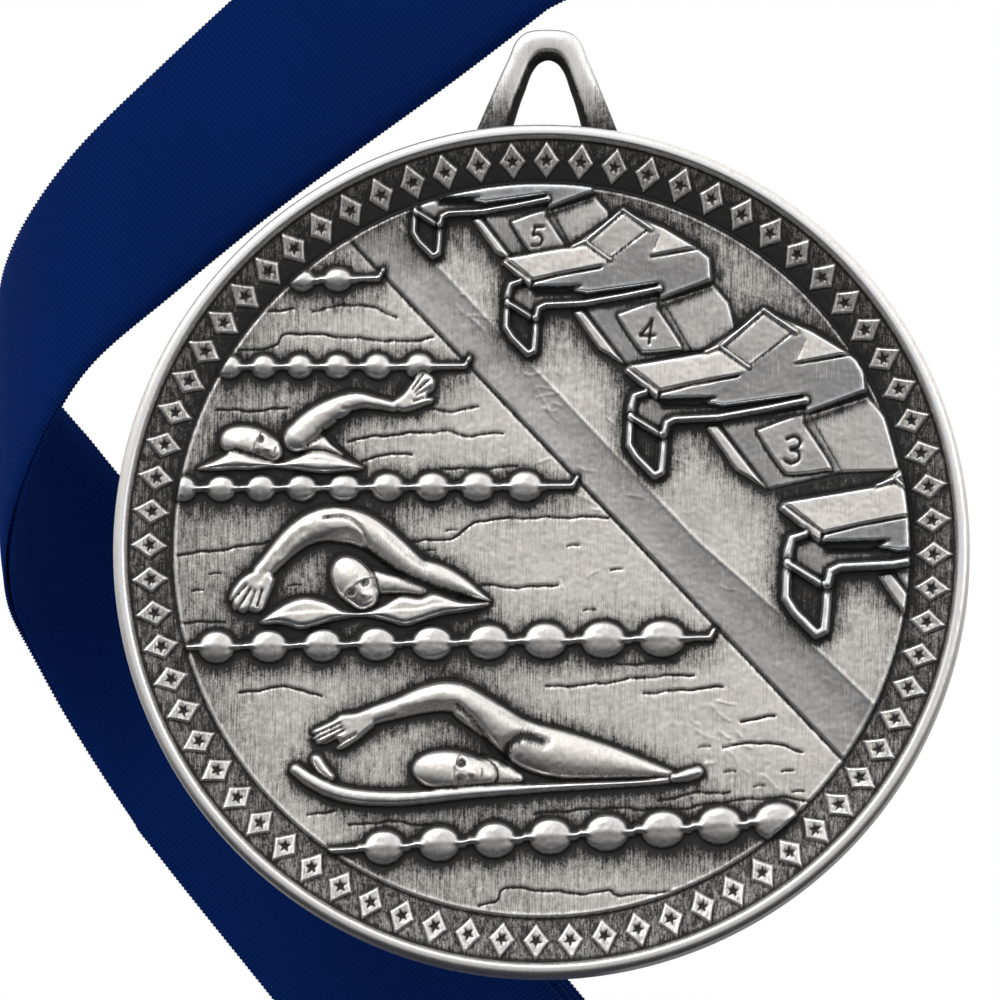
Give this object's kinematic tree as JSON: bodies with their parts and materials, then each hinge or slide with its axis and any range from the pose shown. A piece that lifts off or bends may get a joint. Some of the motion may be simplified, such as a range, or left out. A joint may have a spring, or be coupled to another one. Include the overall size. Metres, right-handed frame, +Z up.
{
  "type": "swimming medal with neck ribbon",
  "caption": "Round antique-silver swimming medal with relief of swimmers, lane ropes and starting blocks, a star border, a cast hanger loop and a folded navy neck ribbon.",
  "frame": {"origin": "centre of the medal's disc, at half its thickness", "axes": "the medal's face looks along -Y, its reverse along +Y, and +Z points up to the hanger loop"},
  "size_m": [0.0924, 0.044, 0.1351],
  "materials": {
    "antique_silver": "satin",
    "navy_ribbon": "matte",
    "navy_thread": "matte",
    "ring_wire": "gloss"
  },
  "bodies": {
    "medal": {"medal_casting": "antique_silver"},
    "ribbon": {"ribbon": "navy_ribbon", "ribbon_stitching": "navy_thread"},
    "ring": {"jump_ring": "ring_wire"}
  },
  "joints": [
    {"name": "ribbon_lift", "type": "slide", "parent": "medal", "child": "ribbon", "axis": [0, 1, 0], "range_m": [0, 0.06]},
    {"name": "ring_swing", "type": "hinge", "parent": "ribbon", "child": "ring", "pos_m": [-0.03029, 0.0094, 0.03906], "axis": [0.6428, 0, -0.766], "range_deg": [-12, 100]}
  ]
}
